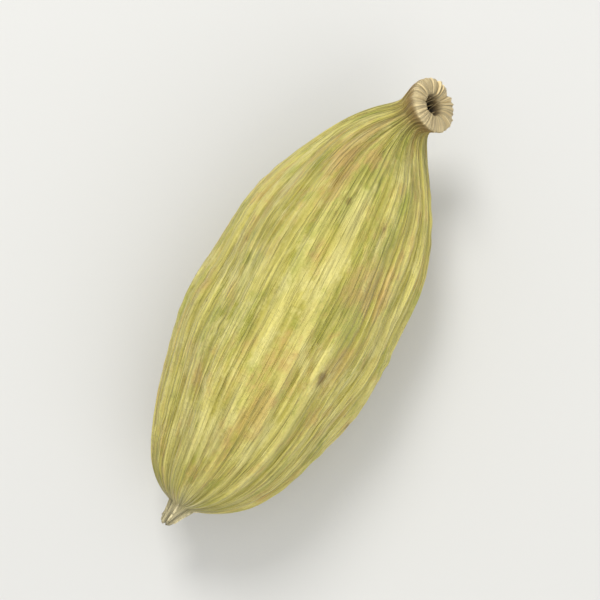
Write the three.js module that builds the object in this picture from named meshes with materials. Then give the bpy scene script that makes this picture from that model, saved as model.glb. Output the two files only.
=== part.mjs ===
// Green cardamom pod: one dried, three-sided capsule lying on its flattest side.
// Husk, stalk stub and beak grew as one piece, so the pod is one closed surface. A round profile is turned
// on a lathe, shaped into a three-sided, ribbed husk by a formula, and bent up at the stalk.
// Millimetres, +Z up, +X from the stalk towards the beak. The origin is in the middle of the pod's box,
// on the surface that the pod rests on.
import * as THREE from "three";
import { mergeVertices } from "three/addons/utils/BufferGeometryUtils.js";

// Stations along the pod's axis, measured from the rim of the stalk scar
const HUSK_START = 0.8;
const BELLY = 8.4; // where the husk is thickest
const HUSK_END = 16.1;
const BEAK_TIP = 16.8;

// Husk: its greatest radius, and how bluntly it closes towards each end (a smaller power is blunter)
const GIRTH_RADIUS = 3.36;
const STALK_END_POWER = 0.7;
const BEAK_END_POWER = 0.46;
const HEIGHT_SHARE = 0.95; // the pod is a little lower than it is wide
const THREE_SIDES = 0.085; // share of the radius by which the three angles stand out
const HUSK_TWIST = 0.3; // radians that the angles wander from stalk to beak

// Ribs: veins that stand out of the dry husk and run from end to end
const RIBS = 19;
const RIB_HEIGHT = 0.13;
const RIB_CREST_POWER = 1.6; // above 1 makes narrow crests and broad valleys
const RIB_LEVEL = 0.4; // share of a rib's height that lies below the husk's mean surface
const RIB_STRENGTH = 0.78; // mean strength of a rib
const RIB_CONTRAST = 0.22; // how much stronger or weaker than the mean a rib can be
const RIB_WANDER = 0.9; // radians of a rib's own spacing that each slow wave moves it by
const DENT_DEPTH = 0.1; // broad hollows where the husk shrank

// Slow waves over the husk, each as [waves round the pod, radians per millimetre along it, start]
const RIB_SWAYS = [[2, 0.3, 0], [3, -0.25, 1.7], [5, 0.15, 4]]; // together they move the ribs sideways
const RIB_STRENGTH_WAVE = [5, 0.35, 3.9]; // makes some ribs stronger than others
const HOLLOW_WAVES = [[2, 0.5, 2.2], [0, 0.8, 0.6]]; // multiplied, they lay out the broad hollows

// Stalk stub: a short neck that ends in a flared ring round a small hollow
const STALK_RADIUS = 0.62;
const SCAR_FLARE = 0.28;
const SCAR_FLARE_LENGTH = 0.55;
const SCAR_LIP = 0.12;
const SCAR_HOLE_RADIUS = 0.38;
const SCAR_HOLE_DEPTH = 0.55;
const SCAR_FLOOR_RADIUS = 0.3; // the hollow's floor is a shallow cone
const SCAR_FLOOR_RISE = 0.14;
const STALK_BEND_START = 4.2; // the stalk bends between this station and its scar
const STALK_BEND = 1.15; // radians
const STALK_BEND_SIDE = 0.95; // radians from +Y up towards +Z that the scar leans

// Beak: the withered tip, a taper that starts inside the end of the husk
const BEAK_START = 15.2;
const BEAK_BASE_RADIUS = 0.75;
const BEAK_TIP_RADIUS = 0.14;
const BEAK_LEAN = 0.5; // sideways shift of the tip
const BEAK_LEAN_START = 13.5;

// Softness of the joins between the husk and its two ends
const STALK_SHOULDER = 0.4;
const BEAK_SHOULDER = 0.5;
const BEAK_TIP_SHOULDER = 0.15;

// Flat spot that the pod rests on: how much of the underside is pressed flat
const FLAT_DEPTH = 0.16;
const FLAT_RIB_SHARE = 0.25; // ribs are this share of their height where the pod is pressed flat
const FLAT_FADE_POWER = 4; // how quickly the pressed part fades round the pod

// Faces round the pod and rows along it
const FACES_ROUND = 100;
const ROWS = 46;
const LIP_ROWS = 4;
const END_CROWDING = 0.65; // crowds the rows towards both ends

const smoothMax = (a, b, softness) => (a + b + Math.hypot(a - b, softness)) / 2;

// Radius of the husk alone: an oval whose two halves close with their own power.
function huskRadius(station) {
  const towardsBeak = station > BELLY;
  const reach = towardsBeak ? HUSK_END - BELLY : BELLY - HUSK_START;
  const power = towardsBeak ? BEAK_END_POWER : STALK_END_POWER;
  const share = Math.min(1, Math.abs(station - BELLY) / reach);
  return GIRTH_RADIUS * (1 - share * share) ** power;
}

// Radius of the whole outline: the husk runs softly into the flared stalk and into the beak.
function outlineRadius(station) {
  if (station < BELLY) {
    const stalk = STALK_RADIUS + SCAR_FLARE * Math.exp(-((station / SCAR_FLARE_LENGTH) ** 2));
    return smoothMax(huskRadius(station), stalk, STALK_SHOULDER);
  }
  const share = THREE.MathUtils.clamp((station - BEAK_START) / (BEAK_TIP - BEAK_START), 0, 1);
  const beak = THREE.MathUtils.lerp(BEAK_BASE_RADIUS, BEAK_TIP_RADIUS, share);
  const softness = THREE.MathUtils.lerp(BEAK_SHOULDER, BEAK_TIP_SHOULDER, share);
  return smoothMax(huskRadius(station), beak, softness);
}

// The lathe profile: hollow of the scar, its rounded lip, the outline from stalk to beak, and the closed tip.
function podProfile() {
  const points = [new THREE.Vector2(0, SCAR_HOLE_DEPTH)];
  points.push(new THREE.Vector2(SCAR_FLOOR_RADIUS, SCAR_HOLE_DEPTH - SCAR_FLOOR_RISE));
  const rim = outlineRadius(0);
  const lipMiddle = (rim + SCAR_HOLE_RADIUS) / 2;
  const lipHalf = (rim - SCAR_HOLE_RADIUS) / 2;
  for (let i = 0; i < LIP_ROWS; i++) {
    const turn = (Math.PI * i) / LIP_ROWS;
    points.push(new THREE.Vector2(lipMiddle - lipHalf * Math.cos(turn), -SCAR_LIP * Math.sin(turn)));
  }
  for (let i = 0; i <= ROWS; i++) {
    const share = i / ROWS;
    const crowded = share - (END_CROWDING * Math.sin(2 * Math.PI * share)) / (2 * Math.PI);
    const station = BEAK_TIP * crowded;
    points.push(new THREE.Vector2(outlineRadius(station), station));
  }
  points.push(new THREE.Vector2(0, BEAK_TIP + BEAK_TIP_RADIUS / 2));
  return points;
}

// Height of the ribs and hollows at a place on the husk. The ribs wander, and some are stronger than others.
function relief(station, angle, huskShare) {
  const wave = ([around, along, start]) => Math.sin(around * angle + along * station + start);
  const sway = RIB_SWAYS.reduce((sum, each) => sum + wave(each), 0);
  const crest = ((1 + Math.cos(RIBS * angle + RIB_WANDER * sway)) / 2) ** RIB_CREST_POWER;
  const strength = RIB_STRENGTH + RIB_CONTRAST * wave(RIB_STRENGTH_WAVE);
  const under = Math.max(0, -Math.sin(angle)) ** FLAT_FADE_POWER;
  const pressed = THREE.MathUtils.lerp(1, FLAT_RIB_SHARE, under * huskShare);
  const ribs = RIB_HEIGHT * Math.sqrt(huskShare) * strength * (crest - RIB_LEVEL);
  const hollow = HOLLOW_WAVES.reduce((product, each) => product * wave(each), 1);
  return (ribs + DENT_DEPTH * huskShare * hollow) * pressed;
}

// Bends the straight axis near the stalk towards +Y and up, along an Euler spiral: its turn grows with the
// square of the way along it, and its run and rise are the usual series for that curve.
function bendStalk(point) {
  const share = Math.max(0, STALK_BEND_START - point.x) / STALK_BEND_START;
  const turn = STALK_BEND * share ** 2;
  const run = STALK_BEND_START * share * (1 - turn ** 2 / 10 + turn ** 4 / 216);
  const rise = STALK_BEND_START * share * (turn / 3 - turn ** 3 / 42 + turn ** 5 / 1320);
  const leanY = Math.cos(STALK_BEND_SIDE);
  const leanZ = Math.sin(STALK_BEND_SIDE);
  const outward = point.y * leanY + point.z * leanZ;
  const across = point.z * leanY - point.y * leanZ;
  const lift = rise + outward * Math.cos(turn);
  const straight = Math.max(point.x, STALK_BEND_START);
  point.x = straight - run + outward * Math.sin(turn);
  point.y = lift * leanY - across * leanZ;
  point.z = lift * leanZ + across * leanY;
}

// Moves one point of the lathe form to its place on the pod.
function shapePoint(station, radius, angle, point) {
  const outline = outlineRadius(station);
  const huskShare = huskRadius(station) / GIRTH_RADIUS;
  const twist = HUSK_TWIST * ((station - BELLY) / BEAK_TIP);
  const sides = 1 + THREE_SIDES * Math.sqrt(huskShare) * Math.cos(3 * (angle - Math.PI / 2 + twist));
  const shaped = radius * (sides + relief(station, angle, huskShare) / outline);
  const lean = Math.max(0, (station - BEAK_LEAN_START) / (BEAK_TIP - BEAK_LEAN_START));
  const sideways = shaped * Math.cos(angle) - BEAK_LEAN * lean ** 2;
  point.set(station, sideways, shaped * Math.sin(angle) * HEIGHT_SHARE);
  bendStalk(point);
}

// The whole pod: shaped, pressed flat underneath, and moved so that it rests on z = 0 about the origin.
function podGeometry() {
  const lathe = new THREE.LatheGeometry(podProfile(), FACES_ROUND);
  lathe.deleteAttribute("normal");
  lathe.deleteAttribute("uv");
  const geometry = mergeVertices(lathe);
  const place = geometry.getAttribute("position");
  const point = new THREE.Vector3();
  for (let i = 0; i < place.count; i++) {
    point.fromBufferAttribute(place, i);
    shapePoint(point.y, Math.hypot(point.x, point.z), Math.atan2(point.x, point.z), point);
    place.setXYZ(i, point.x, point.y, point.z);
  }
  geometry.computeBoundingBox();
  const floor = geometry.boundingBox.min.z + FLAT_DEPTH;
  for (let i = 0; i < place.count; i++) {
    place.setZ(i, Math.max(place.getZ(i), floor));
  }
  const middle = geometry.boundingBox.getCenter(new THREE.Vector3());
  geometry.translate(-middle.x, -middle.y, -floor);
  geometry.computeVertexNormals();
  return geometry;
}

const huskMaterial = new THREE.MeshStandardMaterial({ color: 0xbeb465, roughness: 0.62, metalness: 0 });

const cardamom = new THREE.Group();
const pod = new THREE.Mesh(podGeometry(), huskMaterial);
pod.name = "pod";
cardamom.add(pod);

export default cardamom;
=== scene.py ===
"""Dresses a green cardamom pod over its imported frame.

The husk repeats the part's formula on a fine grid and adds the thin veins, puckers, pleats and torn edges
that a dry pod has. Fibres stand in the stalk's scar, and withered shreds of the flower hang on at the beak.
Metres, +Z up, +X from the stalk towards the beak.
"""
import math

import bpy
import numpy as np
from bpy.props import FloatProperty, FloatVectorProperty, IntProperty, PointerProperty
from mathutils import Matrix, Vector


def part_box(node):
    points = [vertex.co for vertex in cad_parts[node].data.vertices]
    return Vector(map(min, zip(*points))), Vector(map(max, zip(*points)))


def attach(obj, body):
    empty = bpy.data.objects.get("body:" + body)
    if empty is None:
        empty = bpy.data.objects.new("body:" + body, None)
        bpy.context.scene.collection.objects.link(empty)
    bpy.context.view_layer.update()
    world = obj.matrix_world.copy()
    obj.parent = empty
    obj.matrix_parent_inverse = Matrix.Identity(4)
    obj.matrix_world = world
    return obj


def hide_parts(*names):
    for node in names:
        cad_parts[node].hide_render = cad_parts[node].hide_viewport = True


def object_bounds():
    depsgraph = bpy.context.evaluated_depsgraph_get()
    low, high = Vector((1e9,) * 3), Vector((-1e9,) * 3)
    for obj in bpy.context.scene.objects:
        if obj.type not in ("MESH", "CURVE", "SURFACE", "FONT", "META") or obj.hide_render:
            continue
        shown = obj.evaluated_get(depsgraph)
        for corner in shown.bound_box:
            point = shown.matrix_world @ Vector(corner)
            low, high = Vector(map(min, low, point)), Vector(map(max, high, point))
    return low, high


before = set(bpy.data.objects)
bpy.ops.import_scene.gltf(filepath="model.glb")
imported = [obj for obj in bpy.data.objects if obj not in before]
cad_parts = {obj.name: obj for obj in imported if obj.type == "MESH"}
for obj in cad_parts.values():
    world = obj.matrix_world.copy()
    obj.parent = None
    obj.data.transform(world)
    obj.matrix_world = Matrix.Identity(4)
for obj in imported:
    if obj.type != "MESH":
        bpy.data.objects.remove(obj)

CAD_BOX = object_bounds()

bl_info = {
    "name": "Cardamom Pod",
    "version": (1, 0, 0),
    "blender": (4, 5, 0),
    "location": "3D View > Sidebar > Cardamom",
    "description": "Builds a dried green cardamom pod with its stalk scar, its beak and a small studio",
    "category": "Add Mesh",
}

MM = 0.001
POD_NODE = "pod"
POD_BODY = "root"
HUSK_MATERIAL = "dried_cardamom_husk"

# Stations along the pod's axis, measured from the rim of the stalk scar
HUSK_START = 0.8 * MM
BELLY = 8.4 * MM
HUSK_END = 16.1 * MM
BEAK_TIP = 16.8 * MM

# How bluntly the husk closes towards each end, and what makes it three-sided
STALK_END_POWER = 0.7
BEAK_END_POWER = 0.46
HEIGHT_SHARE = 0.95
SIDES = 3
THREE_SIDES = 0.085
HUSK_TWIST = 0.3

# Ribs, as in the solid
RIB_CREST_POWER = 1.6
RIB_LEVEL = 0.4
RIB_STRENGTH = 0.78
RIB_CONTRAST = 0.22
RIB_WANDER = 0.9
DENT_DEPTH = 0.1 * MM

# Slow waves over the husk, as in the solid: waves round the pod, radians per millimetre along it, and start
RIB_SWAYS = ((2, 0.3, 0), (3, -0.25, 1.7), (5, 0.15, 4))
RIB_STRENGTH_WAVE = (5, 0.35, 3.9)
HOLLOW_WAVES = ((2, 0.5, 2.2), (0, 0.8, 0.6))

# Stalk stub and its scar
STALK_RADIUS = 0.62 * MM
SCAR_FLARE = 0.28 * MM
SCAR_FLARE_LENGTH = 0.55 * MM
SCAR_LIP = 0.12 * MM
SCAR_HOLE_RADIUS = 0.38 * MM
SCAR_HOLE_DEPTH = 0.55 * MM
SCAR_FLOOR_RADIUS = 0.3 * MM
SCAR_FLOOR_RISE = 0.14 * MM
STALK_BEND_START = 4.2 * MM
STALK_BEND_SIDE = 0.95

# Beak, and the softness of the joins between the husk and its two ends
BEAK_START = 15.2 * MM
BEAK_BASE_RADIUS = 0.75 * MM
BEAK_TIP_RADIUS = 0.14 * MM
BEAK_LEAN = 0.5 * MM
BEAK_LEAN_START = 13.5 * MM
STALK_SHOULDER = 0.4 * MM
BEAK_SHOULDER = 0.5 * MM
BEAK_TIP_SHOULDER = 0.15 * MM

# Flat spot underneath
FLAT_DEPTH = 0.16 * MM
FLAT_RIB_SHARE = 0.25
FLAT_FADE_POWER = 4

# Fine relief that only the dressed husk has; the veins and cords are the numbers in each set round the pod
FINE_VEINS = (47, 62, 79)
STUB_CORDS = (19, 31, 47)
VEIN_POWER = 2.5
SEAM_DEPTH = 0.05 * MM
SEAM_WIDTH = 0.16 * MM
LUMP_HEIGHT = 0.035 * MM
STUB_CORD_HEIGHT = 0.1 * MM
STUB_CORD_LEVEL = 0.4
STUB_RIM_FADE = 0.55
LIP_SPREAD = 1.6 * SCAR_LIP
LIP_ROUGHNESS = 0.05 * MM
BEAK_PLEATS = 9
BEAK_PLEAT_HEIGHT = 0.05 * MM
BEAK_PLEAT_SWAY = (2, 1.1, 0.4)
BEAK_TEAR = 0.1 * MM
BEAK_TEAR_LENGTH = 0.4 * MM

# Two slow waves that sway each set of veins: radians of the set's own spacing, then as the waves above
VEIN_DRIFTS = (
    ((1.4, 3, 0.5, 0.0), (0.9, 7, 0.9, 1.0)),
    ((1.4, 4, 0.2, 2.0), (0.9, 8, -0.9, 2.0)),
    ((1.4, 5, -0.1, 4.0), (0.9, 9, 0.9, 3.0)))

# Seeded ripples: least and most waves round the pod, shortest and longest wave along it in millimetres,
# number of waves, and seed
PUCKER_PATCHES = ((2, 7), (3, 8), 9, 4)
PUCKERS = ((4, 26), (0.5, 1.1), 28, 11)
LUMPS = ((2, 6), (3, 7), 10, 23)
LIP_RIPPLES = ((3, 31), (0.3, 2), 30, 31)
TEAR_RIPPLES = ((2, 9), (1, 3), 9, 37)
MARK_RIPPLES = ((5, 40), (0.4, 2), 24, 53)

# Marks on the husk: station in millimetres, angle in degrees, half length and half width in millimetres
TAN_MARKS = ((3.3, 112, 1.2, 0.55), (12.4, 80, 0.9, 0.35), (7.0, 40, 1.0, 0.3))
PALE_MARKS = ((13.7, 104, 0.9, 0.5), (8.4, 123, 1.1, 0.45), (5.2, 84, 1.0, 0.4))
SCAB_MARKS = ((10.4, 56, 0.26, 0.17), (5.2, 62, 0.12, 0.08))
SCAB_STRENGTH = 0.75
MARK_RAGGEDNESS = 0.4
MARK_GONE = 1.2  # shares of a mark's half size at which it is gone and full
MARK_FULL = 0.6

# Tints of the two ends: where each starts and is full, and how much further the veins carry it
STALK_TINT = (0.35 * MM, 1.6 * MM)
BEAK_TINT = (15.9 * MM, 16.7 * MM)
# Painted shade in the scar's hollow: where the near-black colour starts and where it is full
HOLLOW_SHADE_SPAN = (-0.06 * MM, 0.12 * MM)
VEIN_REACH = 0.6 * MM
LIP_STRENGTH = 0.97
END_PAINTED_SHADE = 0.8  # painted shade between the cords and pleats, and painted light on them
END_PAINTED_LIGHT = 1.25
RIB_PALENESS = 0.75  # mean paleness of a rib, and how much it varies
RIB_PALENESS_CONTRAST = 0.25

# Shares at the husk's two poles, the floor of the scar and the beak's tip, where they aren't both 0
POLE_SHARES = {"stalk": (1, 0), "hollow": (1, 0), "beak": (0, 1), "shade": (1, 1)}

# Grid of the dressed husk
COLUMNS = 460
HUSK_ROWS = 186
FLOOR_ROWS = 7
WALL_ROWS = 6
LIP_ROWS = 9
TIP_ROWS = 4
END_CROWDING = 0.65

# Strands: points along each, sides of its section, the shares of its length where the section starts and
# ends, the powers of its taper at the root and the tip, and how uneven the spacing round the ring is
STRAND_STEPS = 9
STRAND_SIDES = 10
STRAND_SPAN = (0.04, 0.96)
STRAND_ROOT_POWER = 0.35
STRAND_TIP_POWER = 0.5
STRAND_JITTER = 0.3

# Scar fibres: ranges to draw from in millimetres; roots are shares of the hollow's floor radius, and the
# swirl is radians either way
FIBRE_SEED = 41
FIBRE_ROOTS = (0.75, 1.05)
FIBRE_TOPS = (-0.08, 0.25)
FIBRE_SPREADS = (0, 0.1)
FIBRE_SWIRL = 0.5
FIBRE_WIDTHS = (0.022, 0.04)
FIBRE_SHARES = {"lip": 0.5, "stalk": 1.0, "shade": 0.9}

# Beak shreds: ranges to draw from in millimetres, and the swirl in radians either way; each is a thin strip
# that starts a little inside the beak's surface
SHRED_SEED = 43
SHRED_LENGTHS = (0.5, 1.0)
SHRED_TIPS = (-0.1, 0.15)
SHRED_CURLS = (0.02, 0.14)
SHRED_SWIRL = 0.4
SHRED_WIDTHS = (0.07, 0.13)
SHRED_SINK = 0.92
SHRED_THINNESS = 0.25
SHRED_SHARES = {"beak": 1.0, "shade": 1.0}

# Noises on the husk: spacing in millimetres, times as far along the pod, detail, roughness, and the place
# in the noise in millimetres. Crinkles run across the pod, so they are shorter along it.
HUSK_NOISES = {
    "fibre": (0.14, 16, 5, 0.65, (0, 0)),
    "grit": (0.06, 2, 3, 0.5, (0, 0)),
    "crinkle": (0.3, 0.4, 4, 0.6, (0, 0)),
    "pale_thread": (0.34, 24, 3, 0.6, (20, 0)),
    "dark_thread": (0.46, 24, 3, 0.6, (50, 0)),
    "leaf_patch": (2.4, 2.2, 7, 0.7, (0, 0)),
    "blush_patch": (1.7, 2.0, 7, 0.7, (30, 10)),
    "scuff_patch": (1.0, 3.0, 7, 0.7, (60, 20)),
    "blush_fleck": (1.2, 1.8, 7, 0.7, (90, 30)),
    "leaf_fleck": (1.2, 1.8, 7, 0.7, (120, 40)),
    "scuff_fleck": (1.0, 1.8, 7, 0.7, (150, 50)),
}

# Patches and flecks: noise, tint, value of the noise where it starts to show, and strength
HUSK_PATCHES = (
    ("leaf_patch", "leaf", 0.50, 0.6),
    ("blush_patch", "blush", 0.52, 0.6),
    ("scuff_patch", "scuff", 0.54, 0.4),
    ("blush_fleck", "blush", 0.51, 0.65),
    ("leaf_fleck", "leaf", 0.52, 0.65),
    ("scuff_fleck", "scuff", 0.51, 0.7))
PATCH_EDGE = 0.14

# How values on the husk are mapped: the range taken in and the range given out
CREST_RANGE = {"From Min": 0.55, "From Max": 2.0}
THREAD_RANGE = {"From Min": 0.0, "From Max": 0.05, "To Min": 1.0, "To Max": 0.0}
SPECK_RANGE = {"From Min": -0.06, "From Max": 0.08, "To Max": 0.65}
# Painted shade: the husk is darker where the fibre noise, which is also its bump height, is low
FIBRE_PAINTED_SHADE_RANGE = {"From Min": 0.32, "From Max": 0.6, "To Min": 0.8, "To Max": 1.06}
FIBRE_ROUGHNESS_RANGE = {"From Min": 0.3, "From Max": 0.7, "To Min": 0.56, "To Max": 0.36}

# Weights: of veins and fibres in the pale crests, of threads in the painted shade, and of each pattern in
# the bumps
CREST_VEIN_WEIGHT = 0.8
CREST_FIBRE_WEIGHT = 1.6
THREAD_SHADES = {"pale_thread": 0.1, "dark_thread": -0.16}
BUMP_WEIGHTS = {"grit": 0.35, "crinkle": 0.9, "pale_thread": 0.35, "dark_thread": -0.4}
BUMP_DEPTH = 0.085 * MM
NOISE_MIDDLE = 0.5

# Specks: one to a cell, with its radius as a share of the cell; most are close to the least
SPECK_CELL = 0.7 * MM
SPECK_ALONG = 0.7  # scale of the cells along the pod
SPECK_RARITY = 3
SPECK_LEAST = 0.07
SPECK_GROWTH = 0.28
SPECK_RAGGEDNESS = 0.2

# Sockets of a Mix node for colours, by place, because their names repeat
MIX_FACTOR = 0
MIX_A = 6
MIX_B = 7
MIX_COLOUR = 2

# Stage: each light's azimuth and elevation in degrees, and its size
KEY_LIGHT = (-135, 52, 40 * MM)
FILL_LIGHT = (60, 40, 90 * MM)
LIGHT_DISTANCE = 110 * MM
CAMERA_CLIP = (1 * MM, 5)
FLOOR_HALF = 400 * MM
FLOOR_GAP = 0.01 * MM
CARD_TOOTH = 0.4 * MM
CARD_TOOTH_DEPTH = 0.02 * MM
ROOM_COLOUR = (0.98, 0.99, 1.0)


def linear(hex_colour):
    """Linear RGB of an sRGB hex value, by the sRGB standard's curve."""
    channels = [int(hex_colour[place:place + 2], 16) / 255 for place in (1, 3, 5)]
    return tuple(c / 12.92 if c <= 0.04045 else ((c + 0.055) / 1.055) ** 2.4 for c in channels)


class HuskSettings(bpy.types.PropertyGroup):
    """Sizes and colours of the husk."""

    girth_radius: FloatProperty(
        name="Girth radius", description="Greatest radius of the husk before ribs",
        default=3.36 * MM, min=2 * MM, max=6 * MM, precision=5, unit="LENGTH")
    ribs: IntProperty(
        name="Ribs", description="Strong veins that run from stalk to beak",
        default=19, min=9, max=40)
    rib_height: FloatProperty(
        name="Rib height", description="How far a strong vein stands out of the dry husk",
        default=0.13 * MM, min=0, max=0.4 * MM, precision=5, unit="LENGTH")
    vein_height: FloatProperty(
        name="Vein height", description="Height of the thin veins between the ribs",
        default=0.09 * MM, min=0, max=0.2 * MM, precision=5, unit="LENGTH")
    pucker_height: FloatProperty(
        name="Pucker height", description="Height of the small puckers across the veins",
        default=0.022 * MM, min=0, max=0.1 * MM, precision=5, unit="LENGTH")
    straw: FloatVectorProperty(
        name="Straw", description="Colour of the rib crests",
        subtype="COLOR", default=linear("#D4C86E"))
    green: FloatVectorProperty(
        name="Green", description="Colour of the husk between the ribs",
        subtype="COLOR", default=linear("#B2A742"))
    leaf: FloatVectorProperty(
        name="Leaf green", description="Colour of the greener patches",
        subtype="COLOR", default=linear("#9CA03A"))
    blush: FloatVectorProperty(
        name="Blush", description="Colour of the sun-tanned patches",
        subtype="COLOR", default=linear("#C6A45E"))
    scuff: FloatVectorProperty(
        name="Scuff", description="Colour of the rubbed, bleached patches",
        subtype="COLOR", default=linear("#DFD484"))
    speck: FloatVectorProperty(
        name="Speck", description="Colour of the small brown specks",
        subtype="COLOR", default=linear("#7A5E26"))


class EndSettings(bpy.types.PropertyGroup):
    """Sizes and colours of the stalk and the beak."""

    stalk_bend: FloatProperty(
        name="Stalk bend", description="Angle by which the stalk turns up",
        default=1.15, min=0.1, max=1.5, subtype="ANGLE")
    fibres: IntProperty(
        name="Scar fibres", description="Broken strands in the stalk's scar",
        default=11, min=1, max=40)
    shreds: IntProperty(
        name="Beak shreds", description="Withered strips round the beak's tip",
        default=6, min=1, max=16)
    stalk: FloatVectorProperty(
        name="Stalk", description="Colour of the stalk stub",
        subtype="COLOR", default=linear("#BC9A5E"))
    cut: FloatVectorProperty(
        name="Scar", description="Colour of the scar's broken lip",
        subtype="COLOR", default=linear("#F4DDA6"))
    # Painted shade: a near-black colour put on the floor and wall of the scar's hollow
    hollow: FloatVectorProperty(
        name="Hollow", description="Colour at the bottom of the scar",
        subtype="COLOR", default=linear("#2C2110"))
    beak: FloatVectorProperty(
        name="Beak", description="Colour of the withered beak",
        subtype="COLOR", default=linear("#EBDDAC"))


class StageSettings(bpy.types.PropertyGroup):
    """Camera, floor and lights."""

    azimuth: FloatProperty(
        name="Azimuth", description="Side that the camera stands on",
        default=math.radians(28), subtype="ANGLE")
    elevation: FloatProperty(
        name="Elevation", description="Height of the camera",
        default=math.radians(84), subtype="ANGLE")
    lens: FloatProperty(
        name="Lens", description="Focal length of the camera",
        default=100, min=20, max=300, subtype="DISTANCE_CAMERA")
    view_width: FloatProperty(
        name="View width", description="Width that the picture takes in at the pod",
        default=20 * MM, min=5 * MM, precision=5, unit="LENGTH")
    key_power: FloatProperty(
        name="Key power", description="Power of the main soft light",
        default=0.066, min=0, unit="POWER")
    fill_power: FloatProperty(
        name="Fill power", description="Power of the light that opens the shadows",
        default=0.037, min=0, unit="POWER")
    world_strength: FloatProperty(
        name="World strength", description="Brightness of the pale room", default=0.79, min=0)
    floor: FloatVectorProperty(
        name="Floor", description="Colour of the floor",
        subtype="COLOR", default=linear("#D2D1CD"))


def smooth_max(a, b, softness):
    """The larger of two values, rounded where they cross."""
    return (a + b + np.hypot(a - b, softness)) / 2


def smooth_step(low, high, value):
    """0 below low, 1 above high, and an even S-curve between."""
    share = np.clip((value - low) / (high - low), 0, 1)
    return share * share * (3 - 2 * share)


def mix(a, b, share):
    """Straight mix from a to b."""
    return a + (b - a) * share


def husk_radius(station, husk):
    """Oval: girth times (1 - x squared) to a power, x running from 0 at the belly to 1 at either end."""
    towards_beak = station > BELLY
    reach = np.where(towards_beak, HUSK_END - BELLY, BELLY - HUSK_START)
    power = np.where(towards_beak, BEAK_END_POWER, STALK_END_POWER)
    share = np.minimum(1, np.abs(station - BELLY) / reach)
    return husk.girth_radius * (1 - share * share) ** power


def outline_radius(station, husk):
    """The oval husk run softly into a flared stalk at one end and a tapered beak at the other."""
    stalk = STALK_RADIUS + SCAR_FLARE * np.exp(-(station / SCAR_FLARE_LENGTH) ** 2)
    share = np.clip((station - BEAK_START) / (BEAK_TIP - BEAK_START), 0, 1)
    beak = mix(BEAK_BASE_RADIUS, BEAK_TIP_RADIUS, share)
    end = np.where(station < BELLY, stalk, beak)
    softness = np.where(station < BELLY, STALK_SHOULDER, mix(BEAK_SHOULDER, BEAK_TIP_SHOULDER, share))
    return smooth_max(husk_radius(station, husk), end, softness)


def wave(angle, station, around, along, start):
    """A slow sine over the husk: waves round the pod, radians per millimetre along it, and its start."""
    return np.sin(around * angle + along * station / MM + start)


def ripples(angle, station, around, length, count, seed):
    """Sum of sine waves with seeded directions, each closing round the pod, scaled to about -1 to 1."""
    draw = np.random.default_rng(seed)
    turns = draw.integers(around[0], around[1] + 1, count)
    lengths = draw.uniform(length[0] * MM, length[1] * MM, count) * draw.choice((-1, 1), count)
    starts = draw.uniform(0, 2 * math.pi, count)
    total = np.zeros(np.broadcast(angle, station).shape)
    for turn, stretch, start in zip(turns, lengths, starts):
        total += np.sin(turn * angle + 2 * math.pi * station / stretch + start)
    return total / math.sqrt(2 * count)


def side_angle(station, angle):
    """Angle from the top one of the three blunt angles, which wander round the pod from stalk to beak."""
    return angle - math.pi / 2 + HUSK_TWIST * (station - BELLY) / BEAK_TIP


def rib_crest(station, angle, husk):
    """Cosine ribs to a power, whose places wander along the pod: 0 in a valley, 1 on a crest."""
    sway = sum(wave(angle, station, *each) for each in RIB_SWAYS)
    return ((1 + np.cos(husk.ribs * angle + RIB_WANDER * sway)) / 2) ** RIB_CREST_POWER


def pressed_share(angle, share):
    """1 on the open husk, falling to a small share where the pod is pressed flat underneath."""
    under = np.maximum(0, -np.sin(angle)) ** FLAT_FADE_POWER
    return mix(1, FLAT_RIB_SHARE, under * share)


def strong_relief(station, angle, share, husk):
    """Height of the ribs and broad hollows, by the same formula as the solid."""
    strength = RIB_STRENGTH + RIB_CONTRAST * wave(angle, station, *RIB_STRENGTH_WAVE)
    ribs = husk.rib_height * np.sqrt(share) * strength * (rib_crest(station, angle, husk) - RIB_LEVEL)
    hollow = math.prod(wave(angle, station, *each) for each in HOLLOW_WAVES)
    return (ribs + DENT_DEPTH * share * hollow) * pressed_share(angle, share)


def vein_sets(station, angle, counts):
    """Mean of several sets of narrow crests with their own counts, each wandering by its own slow waves."""
    total = 0
    for count, drifts in zip(counts, VEIN_DRIFTS):
        drift = sum(strength * wave(angle, station, *each) for strength, *each in drifts)
        total = total + ((1 + np.cos(count * angle + drift)) / 2) ** VEIN_POWER
    return total / len(counts)


def fine_relief(station, angle, share, husk):
    """Height of the thin veins, the puckers across them, the shallow lumps and the three seams."""
    veins = husk.vein_height * vein_sets(station, angle, FINE_VEINS)
    patches = np.clip((1 + ripples(angle, station, *PUCKER_PATCHES)) / 2, 0, 1)
    puckers = husk.pucker_height * patches * ripples(angle, station, *PUCKERS)
    lumps = LUMP_HEIGHT * ripples(angle, station, *LUMPS)
    half_turns = SIDES / 2
    off_seam = np.sin(half_turns * side_angle(station, angle)) * outline_radius(station, husk) / half_turns
    open_end = smooth_step(BELLY, HUSK_END, station)
    seams = SEAM_DEPTH * open_end * np.exp(-(off_seam / SEAM_WIDTH) ** 2)
    return (np.sqrt(share) * (veins + puckers + lumps) - share * seams) * pressed_share(angle, share)


def pleats(station, angle):
    """Cosine folds round the beak, swayed by a slow wave: 0 in a fold, 1 on a pleat."""
    return (1 + np.cos(BEAK_PLEATS * angle + wave(angle, station, *BEAK_PLEAT_SWAY))) / 2


def beak_relief(station, angle):
    """Pleats on the beak, which deepen towards its tip."""
    share = smooth_step(BEAK_START, BEAK_TIP, station)
    return BEAK_PLEAT_HEIGHT * share * (2 * pleats(station, angle) - 1)


def stub_relief(station, angle, share):
    """Fine cords along the bare stalk stub, which fade at its rim and where the husk begins."""
    cords = vein_sets(station, angle, STUB_CORDS) - STUB_CORD_LEVEL
    rim = 1 - STUB_RIM_FADE * np.exp(-(station / SCAR_FLARE_LENGTH) ** 2)
    return STUB_CORD_HEIGHT * rim * (1 - np.sqrt(share)) * cords * (station < BELLY)


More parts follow.
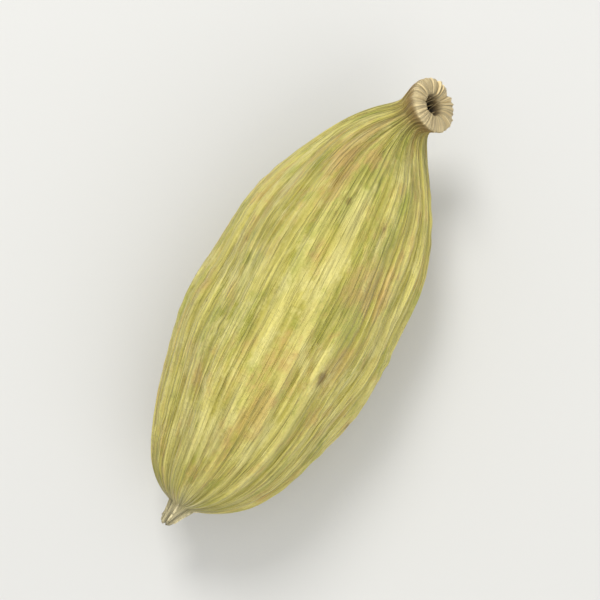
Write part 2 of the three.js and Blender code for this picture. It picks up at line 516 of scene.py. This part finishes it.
def lip_share(station):
    """Bell curve along the axis: 1 on the scar's lip, falling to 0 on both sides of it."""
    return np.exp(-((station + SCAR_LIP / 2) / LIP_SPREAD) ** 2)


def bend_stalk(points, bend):
    """Bends the axis near the stalk towards +Y and up along an Euler spiral.

    The turn grows with the square of the way along it; run and rise are the usual series for that curve.
    """
    x, y, z = points[..., 0], points[..., 1], points[..., 2]
    share = np.maximum(0, STALK_BEND_START - x) / STALK_BEND_START
    turn = bend * share ** 2
    run = STALK_BEND_START * share * (1 - turn ** 2 / 10 + turn ** 4 / 216)
    rise = STALK_BEND_START * share * (turn / 3 - turn ** 3 / 42 + turn ** 5 / 1320)
    lean_y = math.cos(STALK_BEND_SIDE)
    lean_z = math.sin(STALK_BEND_SIDE)
    outward = y * lean_y + z * lean_z
    across = z * lean_y - y * lean_z
    lift = rise + outward * np.cos(turn)
    straight = np.maximum(x, STALK_BEND_START) - run + outward * np.sin(turn)
    return np.stack((straight, lift * lean_y - across * lean_z, lift * lean_z + across * lean_y), axis=-1)


def shape_points(station, radius, angle, relief, husk, ends):
    """Place of each grid point: a round profile made three-sided, raised by its relief, leaned and bent."""
    outline = outline_radius(station, husk)
    share = husk_radius(station, husk) / husk.girth_radius
    sides = 1 + THREE_SIDES * np.sqrt(share) * np.cos(SIDES * side_angle(station, angle))
    shaped = radius * (sides + relief / outline)
    lean = np.maximum(0, (station - BEAK_LEAN_START) / (BEAK_TIP - BEAK_LEAN_START))
    y = shaped * np.cos(angle) - BEAK_LEAN * lean ** 2
    z = shaped * np.sin(angle) * HEIGHT_SHARE
    points = np.stack(np.broadcast_arrays(station, y, z), axis=-1)
    return bend_stalk(points, ends.stalk_bend)


def profile_rows(husk):
    """Stations and radii of the lathe profile: scar floor, hollow's wall, round lip, outline and tip.

    The third column is 1 on the floor of the scar, falls to 0 up its wall, and is 0 outside it.
    """
    floor = np.linspace(0, 1, FLOOR_ROWS, endpoint=False)[1:]
    wall = np.linspace(0, 1, WALL_ROWS, endpoint=False)
    lip = np.linspace(0, math.pi, LIP_ROWS, endpoint=False)
    body = np.linspace(0, 1, HUSK_ROWS)
    tip = np.linspace(0, math.pi / 2, TIP_ROWS, endpoint=False)[1:]
    rim = float(outline_radius(np.array(0.0), husk))
    tip_radius = float(outline_radius(np.array(BEAK_TIP), husk))
    crowded = BEAK_TIP * (body - END_CROWDING * np.sin(2 * math.pi * body) / (2 * math.pi))
    stations = np.concatenate((
        SCAR_HOLE_DEPTH - SCAR_FLOOR_RISE * floor,
        (SCAR_HOLE_DEPTH - SCAR_FLOOR_RISE) * (1 - wall),
        -SCAR_LIP * np.sin(lip),
        crowded,
        BEAK_TIP + BEAK_TIP_RADIUS / 2 * np.sin(tip)))
    radii = np.concatenate((
        SCAR_FLOOR_RADIUS * floor,
        mix(SCAR_FLOOR_RADIUS, SCAR_HOLE_RADIUS, wall),
        (rim + SCAR_HOLE_RADIUS) / 2 - (rim - SCAR_HOLE_RADIUS) / 2 * np.cos(lip),
        outline_radius(crowded, husk),
        tip_radius * np.cos(tip)))
    outside = np.zeros(len(lip) + len(crowded) + len(tip))
    inner = np.concatenate((np.ones(len(floor)), 1 - wall, outside))
    return stations[:, None], radii[:, None], inner[:, None]


def ring_angles(count):
    """Even angles round a ring, starting underneath."""
    return (np.arange(count) * 2 * math.pi / count - math.pi / 2)[None, :]


def pod_shift(husk, ends):
    """Shift from the axis to the frame: the plain ribbed form's box is set on the solid's box."""
    station, radius, _ = profile_rows(husk)
    angle = ring_angles(COLUMNS)
    share = husk_radius(station, husk) / husk.girth_radius
    relief = strong_relief(station, angle, share, husk)
    points = shape_points(station, radius, angle, relief, husk, ends).reshape(-1, 3)
    low, high = (np.array(corner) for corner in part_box(POD_NODE))
    shift = (low + high - points.min(axis=0) - points.max(axis=0)) / 2
    shift[2] = low[2] - points[:, 2].min() - FLAT_DEPTH
    return shift


def husk_rings(station, radius, angle, husk, ends):
    """Places of the dressed husk's points: all its relief, a rough lip, a torn tip, a flat underside."""
    share = husk_radius(station, husk) / husk.girth_radius
    relief = strong_relief(station, angle, share, husk) + fine_relief(station, angle, share, husk)
    relief = relief + beak_relief(station, angle) + stub_relief(station, angle, share)
    rough = LIP_ROUGHNESS * lip_share(station) * ripples(angle, station, *LIP_RIPPLES)
    torn = BEAK_TEAR * smooth_step(BEAK_TIP - BEAK_TEAR_LENGTH, BEAK_TIP, station)
    torn = torn * ripples(angle, station, *TEAR_RIPPLES)
    rings = shape_points(station + rough + torn, radius, angle, relief, husk, ends) + pod_shift(husk, ends)
    rings[..., 2] = np.maximum(rings[..., 2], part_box(POD_NODE)[0][2])
    return rings


def ragged_marks(station, angle, husk, marks):
    """Ovals with edges broken up by ripples: 1 well inside a mark, falling to 0 just past its half size."""
    edge = MARK_RAGGEDNESS * ripples(angle, station, *MARK_RIPPLES)
    total = 0
    for middle, turn, length, width in marks:
        off = np.angle(np.exp(1j * (angle - math.radians(turn)))) * outline_radius(station, husk)
        distance = np.hypot((station / MM - middle) / length, off / (width * MM))
        total = np.maximum(total, smooth_step(MARK_GONE, MARK_FULL, distance + edge))
    return total


def husk_shares(station, angle, inner, husk):
    """Values that colour the husk over its whole grid: shares from 0 to 1, and a shade that multiplies."""
    share = husk_radius(station, husk) / husk.girth_radius
    veins = vein_sets(station, angle, FINE_VEINS)
    paleness = RIB_PALENESS + RIB_PALENESS_CONTRAST * wave(angle, station, *RIB_STRENGTH_WAVE)
    stalk = 1 - smooth_step(*STALK_TINT, station + VEIN_REACH * veins)
    beak = smooth_step(*BEAK_TINT, station + VEIN_REACH * veins)
    # The hollow share is painted shade, near black, over the scar's floor and wall
    hollow = inner * smooth_step(*HOLLOW_SHADE_SPAN, station)
    cords = np.where(station < BELLY, vein_sets(station, angle, STUB_CORDS), pleats(station, angle))
    shares = {
        "ridge": rib_crest(station, angle, husk) * paleness * np.sqrt(share),
        "vein": veins,
        "stalk": stalk,
        "lip": LIP_STRENGTH * lip_share(station) * (1 - hollow),
        "hollow": hollow,
        "beak": beak,
        "tan": ragged_marks(station, angle, husk, TAN_MARKS),
        "pale": ragged_marks(station, angle, husk, PALE_MARKS),
        "scab": SCAB_STRENGTH * ragged_marks(station, angle, husk, SCAB_MARKS),
        # Painted shade between the cords and pleats of the stalk and beak, and painted light on them
        "shade": mix(1, mix(END_PAINTED_SHADE, END_PAINTED_LIGHT, cords), np.maximum(stalk, beak))}
    grid = np.broadcast(station, angle).shape
    return {label: np.broadcast_to(values, grid) for label, values in shares.items()}


def grain_places(station, angle, husk):
    """Places on a plain cylinder of the husk's girth, so that patterns run along the pod."""
    girth = husk.girth_radius
    return np.stack(np.broadcast_arrays(girth * np.cos(angle), girth * np.sin(angle), station), axis=-1)


def with_poles(values, first, last):
    """Values over one body's grid with those of its two poles after them, in the mesh's order."""
    flat = values.reshape(1, values.shape[0] * values.shape[1], *values.shape[2:])
    ends = np.array((first, last), dtype=float).reshape(1, 2, *values.shape[2:])
    return np.concatenate((flat, ends), axis=1)


def ring_mesh(name, rings, poles, attributes):
    """Closed bodies over grids (body, row, column): each row closes on itself, with a pole at each end."""
    bodies, rows, columns = rings.shape[:3]
    stride = rows * columns + 2
    corner = np.arange(bodies)[:, None, None] * stride + np.arange(rows * columns).reshape(rows, columns)
    after = np.roll(corner, -1, axis=2)
    quads = np.stack((corner[:, :-1], after[:, :-1], after[:, 1:], corner[:, 1:]), axis=-1).reshape(-1, 4)
    first = np.broadcast_to(np.arange(bodies)[:, None] * stride + rows * columns, (bodies, columns))
    first_fan = np.stack((first, after[:, 0], corner[:, 0]), axis=-1).reshape(-1, 3)
    last_fan = np.stack((first + 1, corner[:, -1], after[:, -1]), axis=-1).reshape(-1, 3)
    vertices = np.concatenate((rings.reshape(bodies, -1, 3), poles), axis=1).reshape(-1, 3)
    mesh = bpy.data.meshes.new(name)
    mesh.from_pydata(vertices, [], quads.tolist() + first_fan.tolist() + last_fan.tolist())
    for label, values in attributes.items():
        kind, field = ("FLOAT_VECTOR", "vector") if values.ndim == 3 else ("FLOAT", "value")
        mesh.attributes.new(label, kind, "POINT").data.foreach_set(field, values.astype(np.float32).ravel())
    mesh.shade_smooth()
    return mesh


def strand_rings(paths, widths, thicknesses):
    """An ellipse carried along each path, widest two fifths of the way up and narrowing to both ends."""
    along = np.gradient(paths, axis=1)
    along /= np.linalg.norm(along, axis=-1, keepdims=True)
    outward = paths[:, -1] - paths[:, -1].mean(axis=0)
    across = np.cross(along, outward[:, None, :])
    across /= np.linalg.norm(across, axis=-1, keepdims=True)
    normal = np.cross(along, across)
    share = np.linspace(*STRAND_SPAN, paths.shape[1])
    taper = (share ** STRAND_ROOT_POWER * (1 - share) ** STRAND_TIP_POWER)[None, :, None, None]
    angle = ring_angles(STRAND_SIDES)[0][None, None, :, None]
    side = across[:, :, None, :] * np.cos(angle) * widths[:, None, None, None]
    lift = normal[:, :, None, :] * np.sin(angle) * thicknesses[:, None, None, None]
    return paths[:, :, None, :] + taper * (side + lift)


def strand_turns(draw, count):
    """Uneven angles round a ring, one for each strand, as a column."""
    places = np.arange(count) + draw.uniform(-STRAND_JITTER, STRAND_JITTER, count)
    return places[:, None] * 2 * math.pi / count


def add_piece(name, mesh, material):
    """Puts a finished mesh in the scene as a piece that rides on the pod's body."""
    mesh.materials.append(material)
    piece = bpy.data.objects.new(name, mesh)
    bpy.context.collection.objects.link(piece)
    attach(piece, POD_BODY)
    return piece


def add_strands(name, scene, paths, widths, thicknesses, shares):
    """Builds all the strands as one piece, with even values for the shares that colour them."""
    rings = strand_rings(paths, widths, thicknesses)
    bodies, rows, columns = rings.shape[:3]
    points = bodies * (rows * columns + 2)
    poles = paths[:, [0, -1]]
    grain = np.concatenate((rings.reshape(bodies, -1, 3), poles), axis=1)
    attributes = {label: np.full((1, points), value) for label, value in shares.items()}
    mesh = ring_mesh(name, rings, poles, {"grain": grain, **attributes})
    add_piece(name, mesh, shared_husk_material(scene))


def add_node(tree, kind, inputs=None, **settings):
    """Adds one node; inputs map a socket to a plain value or to the output that feeds it."""
    node = tree.nodes.new(kind)
    for name, value in settings.items():
        setattr(node, name, value)
    for socket, value in (inputs or {}).items():
        if isinstance(value, bpy.types.NodeSocket):
            tree.links.new(value, node.inputs[socket])
        else:
            node.inputs[socket].default_value = value
    return node


def empty_material(name):
    """A node material with nothing in it but its output."""
    material = bpy.data.materials.new(name)
    material.use_nodes = True
    tree = material.node_tree
    tree.nodes.clear()
    return material, tree, tree.nodes.new("ShaderNodeOutputMaterial")


def rgba(colour):
    """A colour property as the four numbers that a socket takes."""
    return (*colour, 1.0)


def husk_patterns(tree, grain):
    """The husk's noises by name, stretched along the pod, with the two thread noises made into hair lines.

    A thread lies where its noise crosses its middle value. Pale ones stand out and dark ones are sunk.
    """
    patterns = {}
    for name, (spacing, stretch, detail, roughness, (shift_x, shift_y)) in HUSK_NOISES.items():
        space = add_node(tree, "ShaderNodeMapping", {
            "Vector": grain, "Location": (shift_x * MM, shift_y * MM, 0), "Scale": (1, 1, 1 / stretch)})
        patterns[name] = add_node(tree, "ShaderNodeTexNoise", {
            "Vector": space.outputs[0], "Scale": 1 / (spacing * MM), "Detail": detail,
            "Roughness": roughness}).outputs["Fac"]
    for name in THREAD_SHADES:
        offset = add_node(tree, "ShaderNodeMath", {
            0: patterns[name], 1: NOISE_MIDDLE}, operation="SUBTRACT").outputs[0]
        distance = add_node(tree, "ShaderNodeMath", {0: offset}, operation="ABSOLUTE").outputs[0]
        patterns[name] = add_node(tree, "ShaderNodeMapRange", {
            "Value": distance, **THREAD_RANGE}, interpolation_type="SMOOTHSTEP").outputs[0]
    return patterns


def speck_share(tree, grain, grit):
    """Specks, one to a cell: a disc whose radius grows with a random number to a power, broken by grit."""
    space = add_node(tree, "ShaderNodeMapping", {"Vector": grain, "Scale": (1, 1, SPECK_ALONG)})
    cell = add_node(tree, "ShaderNodeTexVoronoi", {"Vector": space.outputs[0], "Scale": 1 / SPECK_CELL})
    size = add_node(tree, "ShaderNodeMath", {
        0: cell.outputs["Color"], 1: SPECK_RARITY}, operation="POWER").outputs[0]
    radius = add_node(tree, "ShaderNodeMath", {
        0: size, 1: SPECK_GROWTH, 2: SPECK_LEAST}, operation="MULTIPLY_ADD").outputs[0]
    ragged = add_node(tree, "ShaderNodeMath", {
        0: grit, 1: SPECK_RAGGEDNESS, 2: cell.outputs["Distance"]}, operation="MULTIPLY_ADD").outputs[0]
    inside = add_node(tree, "ShaderNodeMath", {0: radius, 1: ragged}, operation="SUBTRACT").outputs[0]
    return add_node(tree, "ShaderNodeMapRange", {
        "Value": inside, **SPECK_RANGE}, interpolation_type="SMOOTHSTEP").outputs[0]


def tint_layers(tree, husk, ends, shares, patterns, speck):
    """Share and tint of each layer of colour over the green husk, from the bottom up."""
    crest = add_node(tree, "ShaderNodeMath", {
        0: shares["vein"], 1: CREST_VEIN_WEIGHT, 2: shares["ridge"]}, operation="MULTIPLY_ADD").outputs[0]
    crest = add_node(tree, "ShaderNodeMath", {
        0: patterns["fibre"], 1: CREST_FIBRE_WEIGHT, 2: crest}, operation="MULTIPLY_ADD").outputs[0]
    crest = add_node(tree, "ShaderNodeMapRange", {
        "Value": crest, **CREST_RANGE}, interpolation_type="SMOOTHSTEP").outputs[0]
    layers = [(crest, husk.straw)]
    for name, tint, start, strength in HUSK_PATCHES:
        patch = add_node(tree, "ShaderNodeMapRange", {
            "Value": patterns[name], "From Min": start, "From Max": start + PATCH_EDGE, "To Max": strength},
            interpolation_type="SMOOTHSTEP").outputs[0]
        layers.append((patch, getattr(husk, tint)))
    layers.append((speck, husk.speck))
    for name, tint in (("tan", husk.blush), ("pale", husk.scuff)):
        streaks = add_node(tree, "ShaderNodeMath", {
            0: shares[name], 1: patterns["fibre"]}, operation="MULTIPLY").outputs[0]
        layers.append((streaks, tint))
    # The hollow layer is painted shade in the scar's recess
    ends_up = (
        ("scab", husk.speck), ("stalk", ends.stalk), ("beak", ends.beak), ("lip", ends.cut),
        ("hollow", ends.hollow))
    return layers + [(shares[name], tint) for name, tint in ends_up]


def husk_colour(tree, husk, ends, shares, patterns, speck):
    """Layers over the green husk, with painted shade between fibres and in sunk dark threads, lighter in
    pale ones.
    """
    colour = rgba(husk.green)
    for share, tint in tint_layers(tree, husk, ends, shares, patterns, speck):
        colour = add_node(tree, "ShaderNodeMix", {
            MIX_FACTOR: share, MIX_A: colour, MIX_B: rgba(tint)}, data_type="RGBA").outputs[MIX_COLOUR]
    # Painted shade between the fibres, and in the dark threads, which the bump sinks
    shade = add_node(tree, "ShaderNodeMapRange", {
        "Value": patterns["fibre"], **FIBRE_PAINTED_SHADE_RANGE}).outputs[0]
    for name, weight in THREAD_SHADES.items():
        shade = add_node(tree, "ShaderNodeMath", {
            0: patterns[name], 1: weight, 2: shade}, operation="MULTIPLY_ADD").outputs[0]
    # Times the ends' painted shade in the folds and painted light on the cords and pleats
    shade = add_node(tree, "ShaderNodeMath", {
        0: shade, 1: shares["shade"]}, operation="MULTIPLY").outputs[0]
    return add_node(tree, "ShaderNodeVectorMath", {0: colour, "Scale": shade}, operation="SCALE").outputs[0]


def dried_husk_material(husk, ends):
    """Dried cardamom husk: parchment-like plant skin, shrunk as it dried in warm air.

    It gives the eye a satin straw-green with paler rib crests, long fibres, tanned and greener patches, and
    small brown specks. The stalk is tan and fibrous, its broken lip pale, and the beak buff.
    """
    material, tree, output = empty_material(HUSK_MATERIAL)
    grain = add_node(tree, "ShaderNodeAttribute", attribute_name="grain").outputs["Vector"]
    shares = {}
    for name in ("ridge", "vein", "stalk", "lip", "hollow", "beak", "tan", "pale", "scab", "shade"):
        shares[name] = add_node(tree, "ShaderNodeAttribute", attribute_name=name).outputs["Fac"]
    patterns = husk_patterns(tree, grain)
    speck = speck_share(tree, grain, patterns["grit"])
    height = patterns["fibre"]
    for name, weight in BUMP_WEIGHTS.items():
        height = add_node(tree, "ShaderNodeMath", {
            0: patterns[name], 1: weight, 2: height}, operation="MULTIPLY_ADD").outputs[0]
    shader = add_node(tree, "ShaderNodeBsdfPrincipled", {
        "Base Color": husk_colour(tree, husk, ends, shares, patterns, speck),
        "Roughness": add_node(tree, "ShaderNodeMapRange", {
            "Value": patterns["fibre"], **FIBRE_ROUGHNESS_RANGE}).outputs[0],
        "Normal": add_node(tree, "ShaderNodeBump", {
            "Height": height, "Strength": 1.0, "Distance": BUMP_DEPTH}).outputs[0],
        "IOR": 1.45,
        "Specular IOR Level": 0.5,
        "Sheen Weight": 0.08,
        "Sheen Roughness": 0.5})
    tree.links.new(shader.outputs[0], output.inputs[0])
    return material


def shared_husk_material(scene):
    """The husk's material, made once for all its pieces."""
    made = bpy.data.materials.get(HUSK_MATERIAL)
    return made or dried_husk_material(scene.cardamom_husk, scene.cardamom_ends)


def floor_material(stage):
    """Matt card: pressed paper pulp, which gives an even pale ground with the faintest tooth."""
    material, tree, output = empty_material("matt_card")
    place = add_node(tree, "ShaderNodeTexCoord").outputs["Object"]
    tooth = add_node(tree, "ShaderNodeTexNoise", {
        "Vector": place, "Scale": 1 / CARD_TOOTH, "Detail": 3.0}).outputs["Fac"]
    bump = add_node(tree, "ShaderNodeBump", {
        "Height": tooth, "Strength": 0.15, "Distance": CARD_TOOTH_DEPTH}).outputs[0]
    shader = add_node(tree, "ShaderNodeBsdfPrincipled", {
        "Base Color": rgba(stage.floor), "Roughness": 0.9, "Specular IOR Level": 0.2, "Normal": bump})
    tree.links.new(shader.outputs[0], output.inputs[0])
    return material


class CARDAMOM_OT_pod_husk(bpy.types.Operator):
    """Build the husk with its stalk stub and beak as one closed surface"""

    bl_idname = "cardamom.pod_husk"
    bl_label = "Pod Husk"

    def execute(self, context):
        husk, ends = context.scene.cardamom_husk, context.scene.cardamom_ends
        station, radius, inner = profile_rows(husk)
        angle = ring_angles(COLUMNS)
        rings = husk_rings(station, radius, angle, husk, ends)
        poles = rings[[0, -1]].mean(axis=1)
        grain = grain_places(station, angle, husk)
        attributes = {"grain": with_poles(grain, (0, 0, SCAR_HOLE_DEPTH), (0, 0, BEAK_TIP))}
        for label, values in husk_shares(station, angle, inner, husk).items():
            attributes[label] = with_poles(values, *POLE_SHARES.get(label, (0, 0)))
        mesh = ring_mesh("pod_husk", rings[None], poles[None], attributes)
        piece = add_piece("pod_husk", mesh, shared_husk_material(context.scene))
        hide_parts(POD_NODE)
        return {"FINISHED"}


class CARDAMOM_OT_scar_fibres(bpy.types.Operator):
    """Stand the broken strands of the stalk in its scar"""

    bl_idname = "cardamom.scar_fibres"
    bl_label = "Scar Fibres"

    def execute(self, context):
        husk, ends = context.scene.cardamom_husk, context.scene.cardamom_ends
        draw = np.random.default_rng(FIBRE_SEED)
        column = (ends.fibres, 1)
        along = np.linspace(0, 1, STRAND_STEPS)[None, :]
        turn = strand_turns(draw, ends.fibres)
        root = draw.uniform(*FIBRE_ROOTS, column) * SCAR_FLOOR_RADIUS
        top = draw.uniform(*FIBRE_TOPS, column) * MM
        spread = draw.uniform(*FIBRE_SPREADS, column) * MM
        station = mix(SCAR_HOLE_DEPTH, top, along)
        radius = root + spread * along ** 2
        swirl = turn + draw.uniform(-FIBRE_SWIRL, FIBRE_SWIRL, column) * along
        straight = np.stack((station, radius * np.cos(swirl), radius * np.sin(swirl)), axis=-1)
        paths = bend_stalk(straight, ends.stalk_bend) + pod_shift(husk, ends)
        widths = draw.uniform(*FIBRE_WIDTHS, ends.fibres) * MM
        add_strands("scar_fibres", context.scene, paths, widths, widths, FIBRE_SHARES)
        return {"FINISHED"}


class CARDAMOM_OT_beak_shreds(bpy.types.Operator):
    """Hang the withered strips of the flower round the beak's tip"""

    bl_idname = "cardamom.beak_shreds"
    bl_label = "Beak Shreds"

    def execute(self, context):
        husk, ends = context.scene.cardamom_husk, context.scene.cardamom_ends
        draw = np.random.default_rng(SHRED_SEED)
        column = (ends.shreds, 1)
        along = np.linspace(0, 1, STRAND_STEPS)[None, :]
        turn = strand_turns(draw, ends.shreds)
        root = BEAK_TIP - draw.uniform(*SHRED_LENGTHS, column) * MM
        tip = BEAK_TIP + draw.uniform(*SHRED_TIPS, column) * MM
        station = mix(root, tip, along)
        curl = draw.uniform(*SHRED_CURLS, column) * MM
        radius = SHRED_SINK * outline_radius(station, husk) + curl * along ** 2
        swirl = turn + draw.uniform(-SHRED_SWIRL, SHRED_SWIRL, column) * along
        paths = shape_points(station, radius, swirl, 0, husk, ends) + pod_shift(husk, ends)
        widths = draw.uniform(*SHRED_WIDTHS, ends.shreds) * MM
        add_strands("beak_shreds", context.scene, paths, widths, SHRED_THINNESS * widths, SHRED_SHARES)
        return {"FINISHED"}


def aim(obj, target):
    """Turns a camera or light so that it looks at a point."""
    obj.rotation_euler = (Vector(target) - obj.location).to_track_quat("-Z", "Y").to_euler()


def around(target, azimuth, elevation, distance):
    """A point at a distance from the target, on a given side and height."""
    flat = math.cos(elevation)
    way = Vector((flat * math.cos(azimuth), flat * math.sin(azimuth), math.sin(elevation)))
    return Vector(target) + distance * way


def add_camera(scene, stage, target):
    """A camera aimed at the target, at the distance where its lens takes in the view's width."""
    data = bpy.data.cameras.new("camera")
    data.lens = stage.lens
    data.clip_start, data.clip_end = CAMERA_CLIP
    distance = stage.view_width * stage.lens / data.sensor_width
    camera = bpy.data.objects.new("camera", data)
    bpy.context.collection.objects.link(camera)
    camera.location = around(target, stage.azimuth, stage.elevation, distance)
    aim(camera, target)
    scene.camera = camera


def add_floor(stage, height):
    """A wide square of card at a height."""
    half = FLOOR_HALF
    corners = [(-half, -half, height), (half, -half, height), (half, half, height), (-half, half, height)]
    mesh = bpy.data.meshes.new("floor")
    mesh.from_pydata(corners, [], [(0, 1, 2, 3)])
    mesh.materials.append(floor_material(stage))
    floor = bpy.data.objects.new("floor", mesh)
    bpy.context.collection.objects.link(floor)


def add_softbox(name, target, place, power):
    """A square area light of a given azimuth, elevation and size, aimed at the pod."""
    azimuth, elevation, size = place
    data = bpy.data.lights.new(name, "AREA")
    data.shape = "SQUARE"
    data.size = size
    data.energy = power
    light = bpy.data.objects.new(name, data)
    bpy.context.collection.objects.link(light)
    light.location = around(target, math.radians(azimuth), math.radians(elevation), LIGHT_DISTANCE)
    aim(light, target)


def add_room(scene, stage):
    """An even, pale world."""
    world = bpy.data.worlds.new("pale_room")
    scene.world = world
    world.use_nodes = True
    background = world.node_tree.nodes["Background"]
    background.inputs["Color"].default_value = rgba(ROOM_COLOUR)
    background.inputs["Strength"].default_value = stage.world_strength


class CARDAMOM_OT_stage(bpy.types.Operator):
    """Set the camera, the pale floor and the soft lights"""

    bl_idname = "cardamom.stage"
    bl_label = "Stage"

    def execute(self, context):
        scene = context.scene
        stage = scene.cardamom_stage
        low, high = CAD_BOX
        target = (Vector(low) + Vector(high)) / 2
        add_camera(scene, stage, target)
        add_floor(stage, low[2] - FLOOR_GAP)
        add_softbox("key", target, KEY_LIGHT, stage.key_power)
        add_softbox("fill", target, FILL_LIGHT, stage.fill_power)
        add_room(scene, stage)
        scene.view_settings.view_transform = "Standard"
        return {"FINISHED"}


class CARDAMOM_PT_panel(bpy.types.Panel):
    """Lists the pod's pieces and their settings"""

    bl_idname = "CARDAMOM_PT_panel"
    bl_label = "Cardamom Pod"
    bl_space_type = "VIEW_3D"
    bl_region_type = "UI"
    bl_category = "Cardamom"

    def draw(self, context):
        layout = self.layout
        for operator in OPERATORS:
            layout.operator(operator.bl_idname)
        for name in SETTINGS:
            group = getattr(context.scene, name)
            column = layout.column(align=True)
            for setting in group.__annotations__:
                column.prop(group, setting)


SETTINGS = {"cardamom_husk": HuskSettings, "cardamom_ends": EndSettings, "cardamom_stage": StageSettings}
OPERATORS = (CARDAMOM_OT_pod_husk, CARDAMOM_OT_scar_fibres, CARDAMOM_OT_beak_shreds, CARDAMOM_OT_stage)
CLASSES = (*SETTINGS.values(), *OPERATORS, CARDAMOM_PT_panel)


def register():
    """Registers every class and hangs the settings on the scene."""
    for each in CLASSES:
        bpy.utils.register_class(each)
    for name, group in SETTINGS.items():
        setattr(bpy.types.Scene, name, PointerProperty(type=group))


def unregister():
    """Takes the settings and classes away again."""
    for name in SETTINGS:
        delattr(bpy.types.Scene, name)
    for each in reversed(CLASSES):
        bpy.utils.unregister_class(each)


def main():
    """Builds the pod and its stage."""
    register()
    bpy.ops.cardamom.pod_husk()
    bpy.ops.cardamom.scar_fibres()
    bpy.ops.cardamom.beak_shreds()
    bpy.ops.cardamom.stage()


if __name__ == "__main__":
    main()
